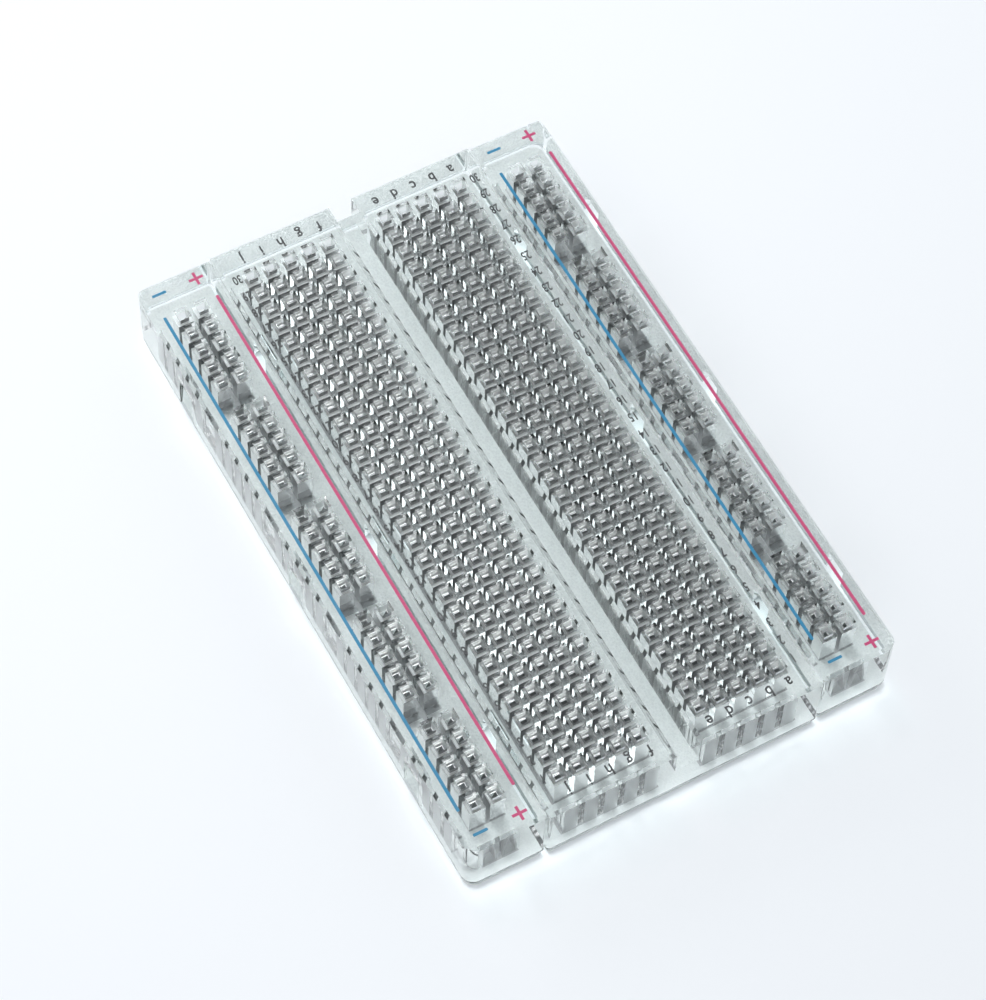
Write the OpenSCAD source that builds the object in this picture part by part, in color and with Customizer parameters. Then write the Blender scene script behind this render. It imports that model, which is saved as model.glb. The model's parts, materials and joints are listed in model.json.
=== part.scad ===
// Solderless breadboard: a terminal strip between two power rails, moulded in clear plastic.
// X runs along the numbered rows, Y across the board, Z up from the surface it is stuck to.
// Row 1 is at the -X end, column a on the -Y side and column j on the +Y side.

/* [Grid] */
// Spacing of the tie points, a tenth of an inch
pitch = 2.54; // [2.5:0.01:2.6]
// Number of rows on the terminal strip
rows = 30; // [12:6:42]
// Tie points in one row on each side of the groove
contacts = 5; // [3:1:5]
// Distance between the two inner columns, e and f
inner_span = 7.62; // [7:0.02:8.2]
// Tie points in one group of a power rail
group = 5; // [4:1:6]

/* [Housings] */
// Height of each moulded housing
housing_h = 8.5; // [7.5:0.1:10.5]
// Width of the terminal strip
strip_w = 34.8; // [34:0.1:44]
// Width of one power rail
rail_w = 9.75; // [9:0.05:13]
// Plastic from the last row's centre to the end of the strip
end_margin = 4.42; // [3.5:0.01:8]
// How far a rail's end stands back from the strip's end
rail_setback = 0.25; // [0:0.05:1]
// Gap between neighbouring housings
seam = 0.1; // [0.08:0.01:0.3]
// Bevel round the top edges
edge_bevel = 0.4; // [0.1:0.05:0.8]
// Corner radius on the outside of a rail
rail_corner_r = 1.5; // [0.5:0.1:2.5]
// Corner radius of every other upright edge
small_corner_r = 0.4; // [0.2:0.05:0.8]
// Width of the centre groove
groove_w = 3; // [2:0.1:4]
// Depth of the centre groove
groove_d = 4; // [2:0.1:5.5]

/* [Tie points] */
// Thickness of the plate over the contacts
plate_t = 1.9; // [1.2:0.1:2.4]
// Side of the square hole through the plate
hole_w = 1.1; // [0.9:0.05:1.3]
// Side of the square mouth at the top of a hole
mouth_w = 1.6; // [1.4:0.05:1.9]
// Depth of the tapered mouth
mouth_d = 0.6; // [0.3:0.05:1]
// Width of the pocket that a clip stands in
pocket_w = 1.95; // [1.8:0.05:2.1]
// Thickness of the rib between two contacts of one clip
rib_t = 0.75; // [0.5:0.05:0.9]
// Height under the ribs, where the clip's web lies
web_room = 0.4; // [0.3:0.05:1.5]

/* [Spring clips] */
// Thickness of the spring metal
sheet_t = 0.2; // [0.15:0.01:0.25]
// Play between a clip and its pocket
clip_play = 0.15; // [0.08:0.01:0.2]
// Gap between the two leaves where they grip a lead
grip_gap = 0.1; // [0.05:0.01:0.3]
// Opening between the leaves' flared tips
tip_gap = 1.1; // [0.6:0.05:1.2]
// Gap between the leaves' tips and the plate
tip_room = 0.4; // [0.2:0.05:0.8]
// Height of the flare above the grip
flare_h = 1.3; // [0.8:0.1:1.6]
// Height at which the leaves start to lean in
knee_h = 1.4; // [1:0.1:2]

/* [Dovetails] */
// Dovetails along each long side
tabs = 3; // [1:1:3]
// Spacing of the dovetails as a share of the distance from the first row to the last
tab_share = 0.38; // [0.3:0.01:0.42]
// Width of a tab where it leaves the housing
tab_root_w = 3; // [2:0.1:4]
// Width of a tab at its outer face
tab_tip_w = 4; // [3:0.1:5]
// How far a tab stands out
tab_depth = 1.2; // [0.8:0.1:1.5]
// Height of a tab
tab_h = 5; // [3:0.1:6]
// Play round a tab in its slot
tab_play = 0.12; // [0.08:0.01:0.3]

/* [Backing] */
// Thickness of the double-sided foam
foam_t = 1.2; // [0.8:0.1:2]
// Thickness of the release liner
liner_t = 0.15; // [0.1:0.05:0.3]
// How far the backing stands in from a housing's edge
backing_inset = 0.3; // [0.1:0.05:0.6]

/* [Hidden] */
$fn = 48;
// How far joined solids run into each other
join = 0.3;
// How far a cutter runs past the face it opens
cut = 1;
row_span = (rows - 1) * pitch;
tab_pitch = tab_share * row_span;
strip_l = row_span + 2 * end_margin;
rail_l = strip_l - 2 * rail_setback;
rail_y = strip_w / 2 + seam + rail_w / 2;
base_z = liner_t + foam_t;
pocket_h = housing_h - plate_t;
leaf_h = pocket_h - tip_room;
grip_h = leaf_h - flare_h;
finger_room = pitch - rib_t;
finger_w = finger_room - 2 * clip_play;
clip_w = pocket_w - 2 * clip_play;
clip_y = (inner_span + (contacts - 1) * pitch) / 2;
row_clip_l = (contacts - 1) * pitch + finger_room;
rail_places = rows - 1;
bus_span = (rail_places - 1) * pitch;
bus_clip_l = bus_span + finger_room;
row_x = [for (i = [0:rows - 1]) i * pitch - row_span / 2];
tab_x = [for (i = [0:tabs - 1]) (i - (tabs - 1) / 2) * tab_pitch];
half_columns = [for (i = [0:contacts - 1]) inner_span / 2 + i * pitch];
columns = concat([for (y = half_columns) -y], half_columns);
bus_x = [for (i = [0:rail_places - 1]) if (i % (group + 1) != group) i * pitch - bus_span / 2];
bus_y = [-pitch / 2, pitch / 2];
clear_plastic = [0.82, 0.88, 0.87, 0.55];
nickel = [0.72, 0.73, 0.72];
foam_white = [0.93, 0.93, 0.9];
liner_white = [0.97, 0.96, 0.92];

function numbered(i) = str("row_clips_", i < 10 ? "0" : "", i);

// Extrudes an outline drawn in Y and Z along X
module along_x(l) {
    rotate([90, 0, 90]) linear_extrude(l, center = true) children();
}

// Extrudes an outline drawn in X and Z along Y
module along_y(l) {
    rotate([90, 0, 0]) linear_extrude(l, center = true) children();
}

// Box standing on its XY centre
module block(l, w, h) {
    translate([-l / 2, -w / 2, 0]) cube([l, w, h]);
}

// Quarter of the waste outside a rounded corner, at the +X +Y corner of the origin
module corner_waste(r) {
    difference() {
        translate([-r, -r]) square(2 * r);
        translate([-r, -r]) circle(r);
        translate([-2 * r, -2 * r]) square([2 * r, r]);
        translate([-2 * r, -2 * r]) square([r, 2 * r]);
    }
}

// Plan of a housing, with one radius on its +Y corners and another on its -Y corners
module housing_plan(l, w, plus_r, minus_r) {
    difference() {
        square([l, w], center = true);
        for (sx = [0, 1]) {
            mirror([sx, 0]) translate([l / 2, w / 2]) corner_waste(plus_r);
            mirror([sx, 0]) mirror([0, 1]) translate([l / 2, w / 2]) corner_waste(minus_r);
        }
    }
}

// Side view of a housing with its two top edges bevelled
module bevelled_side(w) {
    polygon([
        [-w / 2, 0],
        [w / 2, 0],
        [w / 2, housing_h - edge_bevel],
        [w / 2 - edge_bevel, housing_h],
        [edge_bevel - w / 2, housing_h],
        [-w / 2, housing_h - edge_bevel]
    ]);
}

// Housing before its pockets and holes are cut
module housing_body(l, w, plus_r, minus_r) {
    intersection() {
        linear_extrude(housing_h) housing_plan(l, w, plus_r, minus_r);
        along_y(w + cut) bevelled_side(l);
        along_x(l + cut) bevelled_side(w);
    }
}

// Plan of one dovetail, pointing to -Y from a face at y = 0
module tab_plan(play) {
    polygon([
        [-tab_root_w / 2 - play, join],
        [-tab_root_w / 2 - play, 0],
        [-tab_tip_w / 2 - play, -tab_depth - play],
        [tab_tip_w / 2 + play, -tab_depth - play],
        [tab_root_w / 2 + play, 0],
        [tab_root_w / 2 + play, join]
    ]);
}

// Dovetail tabs on the -Y side of a housing of width w
module dovetail_tabs(w) {
    for (x = tab_x) translate([x, -w / 2, 0]) linear_extrude(tab_h) tab_plan(0);
}

// Space cut in the +Y side of a housing of width w by its neighbour's tabs
module dovetail_slots(w) {
    for (x = tab_x) {
        translate([x, w / 2 + seam, -cut]) linear_extrude(tab_h + tab_play + cut) tab_plan(tab_play);
    }
}

// Tapered mouths of a grid of square holes, as crossed trapezoid bars
module hole_mouths(xs, ys) {
    intersection() {
        for (x = xs) translate([x, 0, housing_h]) along_y(strip_w) mouth_profile();
        for (y = ys) translate([0, y, housing_h]) along_x(strip_l) mouth_profile();
    }
}

// Cross-section of one tapered mouth, top edge at height 0
module mouth_profile() {
    spread = join * (mouth_w - hole_w) / 2 / mouth_d;
    polygon([
        [-hole_w / 2, -mouth_d],
        [hole_w / 2, -mouth_d],
        [mouth_w / 2 + spread, join],
        [-mouth_w / 2 - spread, join]
    ]);
}

// Square holes through the plate
module plate_holes(xs, ys) {
    for (x = xs) for (y = ys) {
        translate([x, y, pocket_h - join]) block(hole_w, hole_w, plate_t + 2 * join);
    }
}

// Cross-section of the centre groove, with bevelled lips
module groove_profile() {
    lip = groove_w / 2 + edge_bevel;
    polygon([
        [-groove_w / 2, housing_h - groove_d],
        [groove_w / 2, housing_h - groove_d],
        [groove_w / 2, housing_h - edge_bevel],
        [lip, housing_h],
        [lip, housing_h + cut],
        [-lip, housing_h + cut],
        [-lip, housing_h],
        [-groove_w / 2, housing_h - edge_bevel]
    ]);
}

// Terminal strip: the numbered block of rows, with the groove that integrated circuits straddle
module terminal_strip_housing() {
    color(clear_plastic) translate([0, 0, base_z]) difference() {
        union() {
            housing_body(strip_l, strip_w, small_corner_r, small_corner_r);
            dovetail_tabs(strip_w);
        }
        dovetail_slots(strip_w);
        along_x(strip_l + cut) groove_profile();
        for (x = row_x) for (s = [-1, 1]) {
            translate([x, s * clip_y, -cut]) block(pocket_w, row_clip_l, web_room + cut);
        }
        for (x = row_x) for (y = columns) {
            translate([x, y, web_room - join]) block(pocket_w, finger_room, pocket_h - web_room + join);
        }
        plate_holes(row_x, columns);
        hole_mouths(row_x, columns);
    }
}

// Power rail: two long pockets under two columns of holes in groups
module rail_housing(plus_r, minus_r) {
    difference() {
        union() {
            housing_body(rail_l, rail_w, plus_r, minus_r);
            dovetail_tabs(rail_w);
        }
        dovetail_slots(rail_w);
        for (y = bus_y) {
            translate([0, y, -cut]) block(bus_clip_l, pocket_w, web_room + cut);
        }
        for (x = bus_x) for (y = bus_y) {
            translate([x, y, web_room - join]) block(finger_room, pocket_w, pocket_h - web_room + join);
        }
        plate_holes(bus_x, bus_y);
        hole_mouths(bus_x, bus_y);
    }
}

// Power rail beside column j
module left_rail_housing() {
    color(clear_plastic) translate([0, rail_y, base_z]) rail_housing(rail_corner_r, small_corner_r);
}

// Power rail beside column a
module right_rail_housing() {
    color(clear_plastic) translate([0, -rail_y, base_z]) rail_housing(small_corner_r, rail_corner_r);
}

// Middle line of one spring leaf, from its foot on the web to its flared tip
function leaf_line() = [
    [clip_w / 2 - sheet_t / 2, 0],
    [clip_w / 2 - sheet_t / 2, knee_h],
    [(grip_gap + sheet_t) / 2, grip_h],
    [(tip_gap + sheet_t) / 2, leaf_h]
];

// One pair of leaves and the web under them, drawn across the clip
module leaf_pair_profile() {
    outer = [for (p = leaf_line()) [p[0] + sheet_t / 2, p[1]]];
    inner = [for (i = [len(leaf_line()) - 1:-1:1]) leaf_line()[i] - [sheet_t / 2, 0]];
    right = concat(outer, inner, [[clip_w / 2 - sheet_t, sheet_t]]);
    left = [for (i = [len(right) - 1:-1:0]) [-right[i][0], right[i][1]]];
    polygon(concat(right, left));
}

// Clip that runs along X on its web, with a pair of leaves at each place in xs
module spring_clip(xs, l) {
    block(l - 2 * clip_play, clip_w, sheet_t);
    for (x = xs) translate([x, 0, 0]) along_x(finger_w) leaf_pair_profile();
}

// The two separate clips of one numbered row, one on each side of the groove
module row_clips(i) {
    places = [for (k = [0:contacts - 1]) (k - (contacts - 1) / 2) * pitch];
    color(nickel) for (s = [-1, 1]) {
        translate([row_x[i - 1], s * clip_y, base_z]) {
            rotate([0, 0, 90]) spring_clip(places, row_clip_l);
        }
    }
}

// Long clip under one column of a power rail
module bus_clip(y) {
    color(nickel) translate([0, y, base_z]) spring_clip(bus_x, bus_clip_l);
}

// Plan of a housing's backing
module backing_plan(l, w, plus_r, minus_r) {
    housing_plan(l - 2 * backing_inset, w - 2 * backing_inset, plus_r, minus_r);
}

// Notches in a backing where the neighbour's tabs pass
module tab_notches(w) {
    notch_w = tab_tip_w + 2 * tab_play + 2 * backing_inset;
    notch_d = tab_depth + tab_play + backing_inset;
    for (x = tab_x) {
        translate([x - notch_w / 2, w / 2 - notch_d]) square([notch_w, notch_d + cut]);
    }
}

// Backing outlines of the three housings, each at its place across the board
module strip_backing() {
    difference() {
        backing_plan(strip_l, strip_w, small_corner_r, small_corner_r);
        tab_notches(strip_w);
    }
}

module left_backing() {
    translate([0, rail_y]) backing_plan(rail_l, rail_w, rail_corner_r, small_corner_r);
}

module right_backing() {
    translate([0, -rail_y]) difference() {
        backing_plan(rail_l, rail_w, small_corner_r, rail_corner_r);
        tab_notches(rail_w);
    }
}

// Double-sided foam that shuts the pockets and sticks the housing down
module foam_pad() {
    color(foam_white) translate([0, 0, liner_t]) linear_extrude(foam_t) children();
}

// Paper liner that covers the adhesive until the board is stuck down
module release_liner() {
    color(liner_white) linear_extrude(liner_t) children();
}

terminal_strip_housing();
left_rail_housing();
right_rail_housing();
for (i = [1:rows]) row_clips(i);
bus_clip(rail_y + bus_y[1]);  // left_bus_clip_minus
bus_clip(rail_y + bus_y[0]);  // left_bus_clip_plus
bus_clip(bus_y[1] - rail_y);  // right_bus_clip_minus
bus_clip(bus_y[0] - rail_y);  // right_bus_clip_plus
foam_pad() strip_backing();  // strip_foam_pad
foam_pad() left_backing();  // left_foam_pad
foam_pad() right_backing();  // right_foam_pad
release_liner() strip_backing();  // strip_release_liner
release_liner() left_backing();  // left_release_liner
release_liner() right_backing();  // right_release_liner
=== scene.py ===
# %% [markdown]
# # A clear solderless breadboard
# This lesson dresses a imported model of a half-size breadboard: three clear mouldings held side by side by
# dovetails, thin spring clips standing in their pockets, and a foam backing that shuts the pockets from
# below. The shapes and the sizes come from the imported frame. What is added here is how it looks: the
# plastic, the metal, the foam, the printed marks, and a small studio to see them in.

# %% Load the frame
import json
import math

import bpy
from mathutils import Matrix, Vector


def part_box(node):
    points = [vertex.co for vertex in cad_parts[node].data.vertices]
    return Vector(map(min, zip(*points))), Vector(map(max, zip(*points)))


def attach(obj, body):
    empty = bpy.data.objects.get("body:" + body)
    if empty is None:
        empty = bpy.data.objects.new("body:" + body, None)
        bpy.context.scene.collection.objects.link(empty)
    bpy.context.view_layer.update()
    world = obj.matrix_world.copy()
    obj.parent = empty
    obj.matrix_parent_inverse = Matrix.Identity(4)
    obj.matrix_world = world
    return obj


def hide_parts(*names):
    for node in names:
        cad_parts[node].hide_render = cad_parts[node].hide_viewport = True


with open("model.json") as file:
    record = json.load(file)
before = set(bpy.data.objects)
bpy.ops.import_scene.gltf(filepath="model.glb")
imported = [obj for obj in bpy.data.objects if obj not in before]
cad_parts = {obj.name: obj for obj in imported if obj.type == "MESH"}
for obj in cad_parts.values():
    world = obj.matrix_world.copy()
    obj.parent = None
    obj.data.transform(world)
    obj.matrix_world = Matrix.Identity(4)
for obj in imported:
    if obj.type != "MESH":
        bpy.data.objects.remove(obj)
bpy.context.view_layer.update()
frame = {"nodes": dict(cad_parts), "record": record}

# %% [markdown]
# ## Measuring the board
# Everything on a breadboard sits on a grid of a tenth of an inch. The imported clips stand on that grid, so
# their boxes give the rows, and no place has to be typed in twice.

# %% Read the grid from the clips
mm = 0.001


def middle(node):
    low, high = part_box(node)
    return (low + high) / 2


ROWS = sum(name.startswith("row_clips_") for name in frame["nodes"])
row_x = [middle(f"row_clips_{i + 1:02d}").x for i in range(ROWS)]
pitch = row_x[1] - row_x[0]
half_columns = [pitch * (1.5 + i) for i in range(5)]
columns = [-y for y in reversed(half_columns)] + half_columns
top_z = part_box("terminal_strip_housing")[1].z
base_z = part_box("terminal_strip_housing")[0].z
rail_y = {
    side: (middle(f"{side}_bus_clip_minus").y + middle(f"{side}_bus_clip_plus").y) / 2
    for side in ("left", "right")
}
print("rows", ROWS, "pitch mm", round(pitch / mm, 3), "top mm", round(top_z / mm, 2))
print("rail centres mm", {side: round(y / mm, 2) for side, y in rail_y.items()})

# %% [markdown]
# ## Node helpers
# A material is a small graph. A few helpers keep the recipes below short: they start a graph with a
# Principled shader, add a node with its settings, and mix values or colours. Patterns read Object
# coordinates, so they stay where they are on the piece whatever the camera does.

# %% Start a material
def new_material(name):
    material = bpy.data.materials.new(name)
    material.use_nodes = True
    tree = material.node_tree
    return material, tree, tree.nodes["Principled BSDF"]


# Settings that are inputs of the node are set on the input, and the others on the node itself.
def add(tree, kind, **values):
    node = tree.nodes.new(kind)
    for key, value in values.items():
        if key in node.inputs:
            node.inputs[key].default_value = value
        else:
            setattr(node, key, value)
    return node


print("ready to start materials")


# %% Read the place on a piece
def object_place(tree):
    return add(tree, "ShaderNodeTexCoord").outputs["Object"]


def object_axes(tree):
    split = add(tree, "ShaderNodeSeparateXYZ")
    tree.links.new(object_place(tree), split.inputs["Vector"])
    return split.outputs


def noise(tree, scale, detail=3.0, stretch=(1, 1, 1)):
    mapping = add(tree, "ShaderNodeMapping", Scale=stretch)
    pattern = add(tree, "ShaderNodeTexNoise", Scale=scale, Detail=detail)
    tree.links.new(object_place(tree), mapping.inputs["Vector"])
    tree.links.new(mapping.outputs["Vector"], pattern.inputs["Vector"])
    return pattern.outputs["Fac"]


print("patterns will stay on the piece")


# %% Work with values and colours
def work_out(tree, operation, first, second=0.0):
    node = add(tree, "ShaderNodeMath", operation=operation)
    for socket, value in zip(node.inputs, (first, second)):
        if isinstance(value, float):
            socket.default_value = value
        else:
            tree.links.new(value, socket)
    return node.outputs[0]


def span(tree, value, low, high, start=0.3, stop=0.7):
    ramp = add(tree, "ShaderNodeMapRange")
    ramp.inputs["From Min"].default_value = start
    ramp.inputs["From Max"].default_value = stop
    ramp.inputs["To Min"].default_value = low
    ramp.inputs["To Max"].default_value = high
    tree.links.new(value, ramp.inputs["Value"])
    return ramp.outputs["Result"]


def blend_colours(tree, value, first, second):
    mix = add(tree, "ShaderNodeMix", data_type="RGBA")
    ends = [socket for socket in mix.inputs if socket.type == "RGBA"]
    for socket, colour in zip(ends, (first, second)):
        if isinstance(colour, tuple):
            socket.default_value = (*colour, 1)
        else:
            tree.links.new(colour, socket)
    tree.links.new(value, mix.inputs["Factor"])
    return next(socket for socket in mix.outputs if socket.type == "RGBA")


def bump(tree, height, strength, distance):
    node = add(tree, "ShaderNodeBump", Distance=distance)
    if isinstance(strength, float):
        node.inputs["Strength"].default_value = strength
    else:
        tree.links.new(strength, node.inputs["Strength"])
    tree.links.new(height, node.inputs["Height"])
    return node.outputs["Normal"]


print("ready to mix values, colours and bumps")


# %% [markdown]
# ## Where the contacts stand
# The plastic, the metal and the foam look different round the tie points than at the margins. A small
# node group says which place is which. Inside is 1 in the bands of the board that hold contacts, Strip is
# 1 in the bands of the terminal strip alone, and Core is 1 in the parts of the bands that the contacts
# fill, without the clear ribs between them. They are 0 everywhere else.

# %% Masks of the contact fields
core_share = 0.34


def field_group(strip_band, strip_length, rail_band, rail_length):
    group = bpy.data.node_groups.new("contact_field", "ShaderNodeTree")
    for name in ("Inside", "Core", "Strip"):
        group.interface.new_socket(name=name, in_out="OUTPUT", socket_type="NodeSocketFloat")
    out = group.nodes.new("NodeGroupOutput")
    axes = object_axes(group)
    across = work_out(group, "ABSOLUTE", axes["Y"])
    along = work_out(group, "ABSOLUTE", axes["X"])

    def field(band, length):
        low, high = band
        past_low = work_out(group, "GREATER_THAN", across, low)
        wide = work_out(group, "MULTIPLY", past_low, work_out(group, "LESS_THAN", across, high))
        return work_out(group, "MULTIPLY", wide, work_out(group, "LESS_THAN", along, length))

    strip = field(strip_band, strip_length)
    rail = field(rail_band, rail_length)
    inside = work_out(group, "ADD", strip, rail)
    past_first = work_out(group, "SUBTRACT", across, half_columns[0])
    from_column = work_out(group, "MULTIPLY", strip, past_first)
    from_hole = work_out(group, "ADD", from_column, work_out(group, "MULTIPLY", rail, axes["X"]))
    nearest = work_out(group, "PINGPONG", from_hole, pitch / 2)
    near = work_out(group, "LESS_THAN", nearest, core_share * pitch)
    group.links.new(inside, out.inputs["Inside"])
    group.links.new(work_out(group, "MULTIPLY", inside, near), out.inputs["Core"])
    group.links.new(strip, out.inputs["Strip"])
    return group


past_hole = 0.45 * pitch
rail_half = 0.9 * pitch
contact_field = field_group(
    (half_columns[0] - past_hole, half_columns[-1] + past_hole),
    row_x[-1] + past_hole,
    (rail_y["left"] - rail_half, rail_y["left"] + rail_half),
    row_x[-1] - 0.1 * pitch,
)


def in_field(tree, part="Inside"):
    node = tree.nodes.new("ShaderNodeGroup")
    node.node_tree = contact_field
    return node.outputs[part]


print("made", contact_field.name)

# %% [markdown]
# ## Clear moulded plastic
# The housings are moulded in a clear plastic with a faint cool tint. A Principled shader with full
# transmission bends the light as the real plastic does. Light from lamps would stop at bent glass, so
# rays that look for a lamp meet a tinted Transparent shader in its place, and the metal inside is lit.
# Below the top face the plastic is made rougher round the contacts, which softens the many small walls
# there, and the ribs between them stay clear.

# %% Clear plastic
core_roughness = 0.30
all_rough_below = top_z - 0.5 * mm
polished_above = top_z - 0.02 * mm
skin_dents = 0.12


def clear_plastic():
    material, tree, shader = new_material("clear_plastic")
    shader.inputs["Transmission Weight"].default_value = 1.0
    shader.inputs["IOR"].default_value = 1.53
    haze = noise(tree, 260.0)
    tint = blend_colours(tree, haze, (0.95, 0.985, 0.98), (0.97, 0.99, 0.99))
    tree.links.new(tint, shader.inputs["Base Color"])
    height = object_axes(tree)["Z"]
    below = span(tree, height, core_roughness, 0.0, all_rough_below, polished_above)
    core = work_out(tree, "MULTIPLY", in_field(tree, "Core"), below)
    rough = work_out(tree, "ADD", span(tree, haze, 0.01, 0.04), core)
    tree.links.new(rough, shader.inputs["Roughness"])
    outside = span(tree, in_field(tree), skin_dents, 0.0, 0.0, 1.0)
    tree.links.new(bump(tree, noise(tree, 420.0, 2.0), outside, 0.0001), shader.inputs["Normal"])
    through = add(tree, "ShaderNodeBsdfTransparent", Color=(0.91, 0.94, 0.94, 1))
    path = add(tree, "ShaderNodeLightPath")
    mix = add(tree, "ShaderNodeMixShader")
    out = tree.nodes["Material Output"]
    tree.links.new(path.outputs["Is Shadow Ray"], mix.inputs["Fac"])
    tree.links.new(shader.outputs["BSDF"], mix.inputs[1])
    tree.links.new(through.outputs["BSDF"], mix.inputs[2])
    tree.links.new(mix.outputs["Shader"], out.inputs["Surface"])
    return material


plastic = clear_plastic()
print("made", plastic.name)

# %% [markdown]
# ## Spring metal
# The clips are pressed from thin plated bronze strip. Rolling leaves fine lines along the strip, so the
# roughness follows a noise that is stretched, and the plating is a little uneven in tone. The row clips'
# flat webs lie lowest and their colour is painted bright, a painted highlight. Everything else, the leaves
# and the rails' long clips, is painted darker, a painted shade, and is rougher too.

# %% Spring metal
bright_below = base_z + 0.25 * mm
dull_above = base_z + 0.6 * mm


def spring_metal():
    material, tree, shader = new_material("spring_metal")
    shader.inputs["Metallic"].default_value = 1.0
    rolled = noise(tree, 900.0, 4.0, (1, 1, 0.08))
    tone = noise(tree, 160.0, 2.0)
    low = span(tree, object_axes(tree)["Z"], 1.0, 0.0, bright_below, dull_above)
    web = work_out(tree, "MULTIPLY", low, in_field(tree, "Strip"))
    risen = span(tree, web, 1.0, 0.0, 0.0, 1.0)
    # Painted shade: the leaves and the rails' clips get a darker colour. Painted highlight: the low webs
    # get a brighter one. The plating is one metal throughout.
    painted_shade_metal = blend_colours(tree, tone, (0.20, 0.205, 0.21), (0.30, 0.305, 0.31))
    painted_highlight_metal = blend_colours(tree, tone, (0.66, 0.67, 0.68), (0.74, 0.75, 0.75))
    tree.links.new(blend_colours(tree, risen, painted_highlight_metal, painted_shade_metal), shader.inputs["Base Color"])
    rolled_rough = span(tree, rolled, 0.36, 0.46)
    rough = work_out(tree, "ADD", rolled_rough, span(tree, risen, 0.0, 0.12, 0.0, 1.0))
    tree.links.new(rough, shader.inputs["Roughness"])
    tree.links.new(bump(tree, rolled, 0.1, 0.00001), shader.inputs["Normal"])
    return material


metal = spring_metal()
print("made", metal.name)

# %% [markdown]
# ## Foam and liner
# Closed-cell foam tape has tiny cells, which a Voronoi pattern gives as shallow dents. A real pad is one
# pale colour. Here it is darker in the bands under the contacts, which stands in for the shade in the
# narrow pockets. The liner is waxed paper: long soft fibres and a satin shine.

# %% Foam
cell_edge = 0.8


def foam_tape():
    material, tree, shader = new_material("foam")
    cells = add(tree, "ShaderNodeTexVoronoi", Scale=3500.0)
    tree.links.new(object_place(tree), cells.inputs["Vector"])
    dents = cells.outputs["Distance"]
    tone = span(tree, dents, 0, 1, 0.0, cell_edge)
    margin_foam = blend_colours(tree, tone, (0.60, 0.64, 0.65), (0.70, 0.74, 0.74))
    shaded_foam = blend_colours(tree, tone, (0.30, 0.31, 0.32), (0.36, 0.37, 0.38))
    shade = blend_colours(tree, in_field(tree), margin_foam, shaded_foam)
    tree.links.new(shade, shader.inputs["Base Color"])
    tree.links.new(span(tree, dents, 0.75, 0.95, 0.0, cell_edge), shader.inputs["Roughness"])
    tree.links.new(bump(tree, dents, 0.4, 0.0001), shader.inputs["Normal"])
    return material


foam = foam_tape()
print("made", foam.name)


# %% Waxed liner
def waxed_liner():
    material, tree, shader = new_material("liner")
    fibres = noise(tree, 1200.0, 5.0, (0.25, 1, 1))
    paper = blend_colours(tree, fibres, (0.80, 0.78, 0.72), (0.91, 0.90, 0.86))
    tree.links.new(paper, shader.inputs["Base Color"])
    tree.links.new(span(tree, fibres, 0.35, 0.6), shader.inputs["Roughness"])
    tree.links.new(bump(tree, fibres, 0.2, 0.00004), shader.inputs["Normal"])
    return material


liner = waxed_liner()
print("made", liner.name)

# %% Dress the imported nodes
finishes = {"clear_plastic": plastic, "spring_metal": metal, "foam": foam, "liner": liner}
slots = {entry["node"]: entry["material_slot"] for entry in frame["record"]["subparts"]}
for name, node in frame["nodes"].items():
    node.data.materials.clear()
    node.data.materials.append(finishes[slots[name]])
print("dressed", len(frame["nodes"]), "nodes")

# %% [markdown]
# ## Foam pressed into place
# The foam is stuck to the plastic by its adhesive, so there is no air between them. Each packed pad is
# copied, the doubled corners of its loose triangles are merged, and its top is pushed a few hundredths of
# a millimetre into the plastic.

# %% Copy a packed pad
def deselect():
    if bpy.context.object and bpy.context.object.mode != "OBJECT":
        bpy.ops.object.mode_set(mode="OBJECT")
    bpy.ops.object.select_all(action="DESELECT")


def copy_of(node, name):
    deselect()
    frame["nodes"][node].select_set(True)
    bpy.context.view_layer.objects.active = frame["nodes"][node]
    bpy.ops.object.duplicate()
    piece = bpy.context.object
    piece.name = name
    bpy.ops.object.mode_set(mode="EDIT")
    bpy.ops.mesh.select_all(action="SELECT")
    bpy.ops.mesh.remove_doubles(threshold=0.001 * mm)
    bpy.ops.mesh.select_all(action="DESELECT")
    bpy.ops.object.mode_set(mode="OBJECT")
    return piece


print("ready to copy pads")

# %% Press the pads
press = 0.03 * mm
facing_up = 0.9


def raise_top(piece, height, distance):
    for face in piece.data.polygons:
        face.select = face.normal.z > facing_up and face.center.z > height
    bpy.ops.object.mode_set(mode="EDIT")
    bpy.ops.mesh.select_mode(type="FACE")
    bpy.ops.transform.translate(value=(0, 0, distance))
    bpy.ops.object.mode_set(mode="OBJECT")


for side, body in (("strip", "terminal_strip"), ("left", "left_rail"), ("right", "right_rail")):
    node = f"{side}_foam_pad"
    pad = copy_of(node, f"{side}_pressed_foam")
    raise_top(pad, middle(node).z, press)
    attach(pad, body)
    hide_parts(node)
    print(pad.name, "thickness mm", round(pad.dimensions.z / mm, 3))

# %% [markdown]
# ## Printed marks
# The letters, numbers and lines are screen printed on the plastic. An ink film is a few hundredths of a
# millimetre thick, so each mark is a real film of that thickness, lying on the top face.

# %% Ink
ink_t = 0.02 * mm


def ink(name, dark, light):
    material, tree, shader = new_material(name)
    coverage = noise(tree, 2500.0, 3.0)
    tree.links.new(blend_colours(tree, coverage, dark, light), shader.inputs["Base Color"])
    tree.links.new(span(tree, coverage, 0.4, 0.65), shader.inputs["Roughness"])
    tree.links.new(bump(tree, coverage, 0.2, 0.00001), shader.inputs["Normal"])
    return material


grey_ink = ink("grey_ink", (0.02, 0.022, 0.025), (0.05, 0.052, 0.056))
blue_ink = ink("blue_ink", (0.01, 0.17, 0.33), (0.02, 0.25, 0.44))
red_ink = ink("red_ink", (0.46, 0.03, 0.13), (0.60, 0.07, 0.20))
print("mixed", grey_ink.name, blue_ink.name, red_ink.name)


# %% Set type on the plastic
capital_share = 0.7
embolden = 0.03


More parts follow.
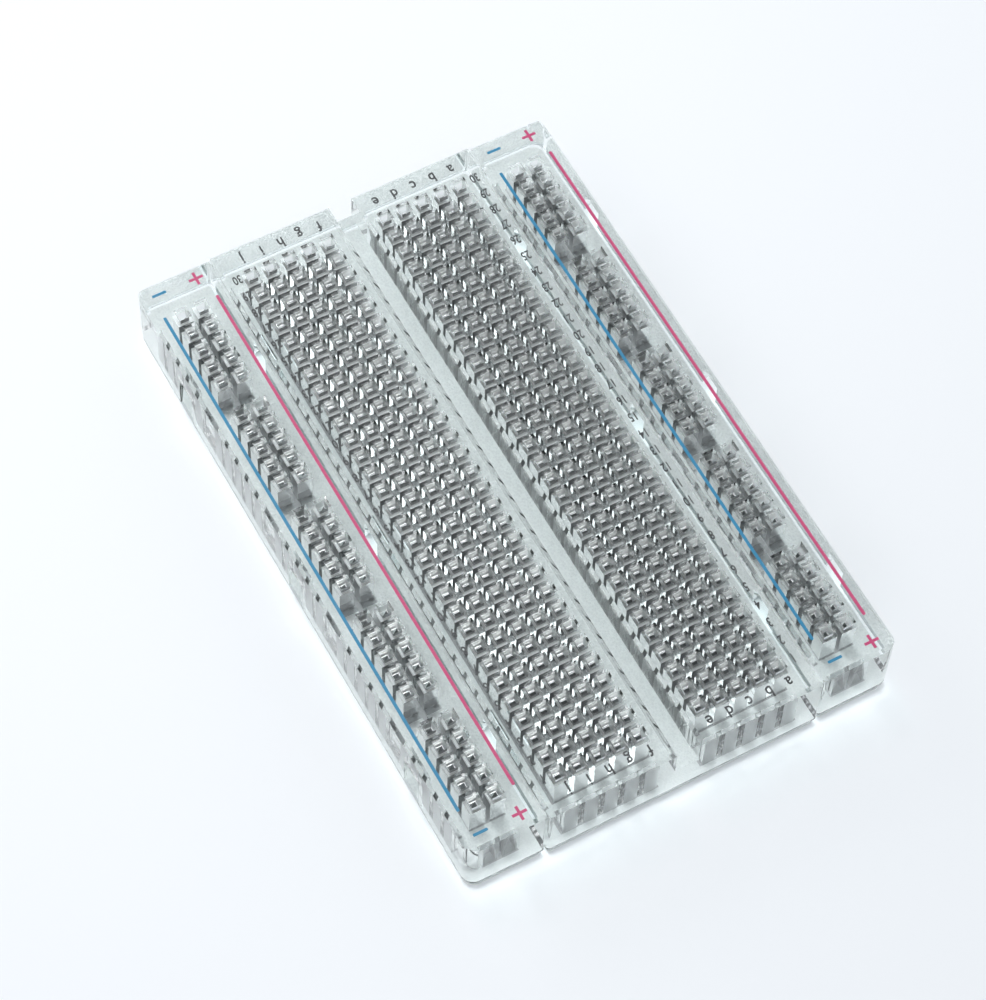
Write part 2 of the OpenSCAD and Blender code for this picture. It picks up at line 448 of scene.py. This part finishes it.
def one_mesh(name, parts):
    deselect()
    for part in parts:
        part.select_set(True)
    bpy.context.view_layer.objects.active = parts[0]
    bpy.ops.object.convert(target="MESH")
    bpy.ops.object.join()
    bpy.ops.object.transform_apply(location=True, rotation=True, scale=True)
    piece = bpy.context.object
    piece.name = name
    return piece


def printed_text(name, marks, height, width):
    parts = []
    for text, x, y in marks:
        bpy.ops.object.text_add(location=(x, y, top_z + ink_t / 2), rotation=(0, 0, math.pi / 2))
        part = bpy.context.object
        part.data.body = text
        part.data.size = height / mm / capital_share
        part.data.align_x = "CENTER"
        part.data.align_y = "CENTER"
        part.data.extrude = ink_t / mm / 2
        part.data.offset = embolden
        part.data.resolution_u = 3
        part.scale = (width * mm, mm, mm)
        parts.append(part)
    return one_mesh(name, parts)


def finish_print(piece, material, body):
    piece.data.materials.clear()
    piece.data.materials.append(material)
    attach(piece, body)


print("ready to print on the plastic")


# %% Column letters and row numbers
letter_x = row_x[-1] + 2.42 * mm
letters = [("abcdefghij"[i], end * letter_x, y) for end in (-1, 1) for i, y in enumerate(columns)]
column_letters = printed_text("column_letters", letters, 1.45 * mm, 0.85)
finish_print(column_letters, grey_ink, "terminal_strip")

number_y = columns[-1] + 1.9 * mm
numbers = [(str(i + 1), x, side * number_y) for side in (-1, 1) for i, x in enumerate(row_x)]
row_numbers = printed_text("row_numbers", numbers, 1.2 * mm, 0.66)
finish_print(row_numbers, grey_ink, "terminal_strip")
print("letters", len(letters), "numbers", len(numbers))
print("letters span mm", [round(d / mm, 2) for d in column_letters.dimensions])

# %% [markdown]
# ## Rail lines and signs
# A blue line runs beside each minus column and a red one beside each plus column, with a sign at both
# ends. A line starts as a flat rectangle whose corners are rounded and which is then pulled up to the
# ink's thickness. A plus starts as a small square whose four edges are pulled outwards.

# %% Draw a bar of ink
corner_share = 0.35


def ink_bar(name, x, y, length, width):
    deselect()
    bpy.ops.mesh.primitive_plane_add(size=1, location=(x, y, top_z))
    bar = bpy.context.object
    bar.name = name
    bar.scale = (length, width, 1)
    bpy.ops.object.transform_apply(location=True, rotation=True, scale=True)
    bpy.ops.object.mode_set(mode="EDIT")
    bpy.ops.mesh.select_all(action="SELECT")
    bpy.ops.mesh.bevel(offset=corner_share * min(length, width), segments=3, affect="VERTICES")
    bpy.ops.mesh.extrude_region_move(TRANSFORM_OT_translate={"value": (0, 0, ink_t)})
    bpy.ops.mesh.select_all(action="SELECT")
    bpy.ops.mesh.normals_make_consistent(inside=False)
    bpy.ops.object.mode_set(mode="OBJECT")
    return bar


print("ready to draw bars", ink_t / mm, "mm thick")


# %% Draw a plus
def ink_plus(name, x, y, size, width):
    deselect()
    bpy.ops.mesh.primitive_plane_add(size=width, location=(x, y, top_z))
    plus = bpy.context.object
    plus.name = name
    bpy.ops.object.transform_apply(location=True, rotation=True, scale=True)
    reach = (size - width) / 2
    for direction in (Vector((1, 0, 0)), Vector((-1, 0, 0)), Vector((0, 1, 0)), Vector((0, -1, 0))):
        bpy.ops.object.mode_set(mode="EDIT")
        bpy.ops.mesh.select_mode(type="EDGE")
        bpy.ops.mesh.select_all(action="DESELECT")
        bpy.ops.object.mode_set(mode="OBJECT")
        centre = Vector((x, y, top_z))
        for edge in plus.data.edges:
            ends = [plus.data.vertices[i].co - centre for i in edge.vertices]
            edge.select = all(p.length < width and p.dot(direction) > width / 3 for p in ends)
        bpy.ops.object.mode_set(mode="EDIT")
        bpy.ops.mesh.extrude_region_move(TRANSFORM_OT_translate={"value": direction * reach})
    bpy.ops.mesh.select_all(action="SELECT")
    bpy.ops.mesh.extrude_region_move(TRANSFORM_OT_translate={"value": (0, 0, ink_t)})
    bpy.ops.mesh.select_all(action="SELECT")
    bpy.ops.mesh.normals_make_consistent(inside=False)
    bpy.ops.mesh.select_mode(type="VERT")
    bpy.ops.object.mode_set(mode="OBJECT")
    return plus


print("ready to draw pluses")

# %% Print both rails
line_from_centre = 3.4 * mm
line_length = 72.0 * mm
line_width = 0.38 * mm
minus_from_centre = 2.5 * mm
plus_from_centre = 2.3 * mm
sign_size = 1.8 * mm
stroke = 0.35 * mm
for side in ("left", "right"):
    body = f"{side}_rail"
    y = rail_y[side]
    for colour, printed, line_y in (
        ("blue", blue_ink, y + line_from_centre),
        ("red", red_ink, y - line_from_centre),
    ):
        line = ink_bar(f"{side}_{colour}_line", 0, line_y, line_length, line_width)
        finish_print(line, printed, body)
    for end, word in ((-1, "near"), (1, "far")):
        sign_x = end * letter_x
        minus = ink_bar(f"{side}_minus_{word}", sign_x, y + minus_from_centre, stroke, sign_size)
        finish_print(minus, blue_ink, body)
        plus = ink_plus(f"{side}_plus_{word}", sign_x, y - plus_from_centre, sign_size, stroke)
        finish_print(plus, red_ink, body)
print("printed both rails")

# %% [markdown]
# ## The studio
# A pale floor, a soft sky and three soft boxes. A lamp's light reaches the flat webs of the row clips
# mostly down the clear ribs between the contacts, because the leaves shade them. So the mirror box is
# narrow and strong and stands in the plane of those ribs, and the two others fill in from the side and
# from behind. The floor is a hair above the liner's underside, so that the two faces don't fight.

# %% Floor and sky
floor_z = 0.02 * mm
deselect()
bpy.ops.mesh.primitive_plane_add(size=6, location=(0, 0, floor_z))
floor = bpy.context.object
floor.name = "floor"
floor_material, floor_tree, floor_shader = new_material("studio_floor")
floor_shader.inputs["Roughness"].default_value = 0.6
paint = blend_colours(floor_tree, noise(floor_tree, 3.0), (0.88, 0.90, 0.93), (0.91, 0.93, 0.95))
floor_tree.links.new(paint, floor_shader.inputs["Base Color"])
floor.data.materials.append(floor_material)

world = bpy.data.worlds.new("soft_sky")
bpy.context.scene.world = world
world.use_nodes = True
sky = world.node_tree.nodes["Background"]
sky.inputs["Color"].default_value = (0.90, 0.95, 1.0, 1)
sky.inputs["Strength"].default_value = 0.45
print("floor at mm", round(floor_z / mm, 3))


# %% Soft boxes
def soft_box(name, place, width, height, power):
    light = bpy.data.lights.new(name, "AREA")
    light.shape = "RECTANGLE"
    light.size = width
    light.size_y = height
    light.energy = power
    lamp = bpy.data.objects.new(name, light)
    bpy.context.scene.collection.objects.link(lamp)
    lamp.location = place
    lamp.rotation_euler = (-Vector(place)).to_track_quat("-Z", "Y").to_euler()
    print("lit", name, "with", power, "W")


soft_box("mirror_box", (0.20, 0.0, 0.5), 0.10, 0.30, 1.6)
soft_box("side_box", (-0.35, 0.5, 0.45), 0.4, 0.4, 0.8)
soft_box("back_box", (0.6, 0.3, 0.35), 0.5, 0.3, 0.7)

# %% Camera
target = Vector((-3.57, 3.75, 9.85)) * mm
azimuth, elevation, distance = math.radians(148.7), math.radians(59.4), 396.3 * mm
roll = math.radians(2.95)
level = math.cos(elevation)
back = Vector((math.cos(azimuth) * level, math.sin(azimuth) * level, math.sin(elevation)))
lens = bpy.data.cameras.new("camera")
lens.lens = 125.8
lens.sensor_width = 36
lens.clip_start = 0.01
camera = bpy.data.objects.new("camera", lens)
bpy.context.scene.collection.objects.link(camera)
turn = (-back).to_track_quat("-Z", "Y").to_matrix().to_4x4()
stand = Matrix.Translation(target + back * distance)
camera.matrix_world = stand @ turn @ Matrix.Rotation(roll, 4, "Z")
bpy.context.scene.camera = camera
bpy.context.scene.view_settings.view_transform = "Standard"
print("camera at mm", [round(v / mm, 1) for v in camera.location])
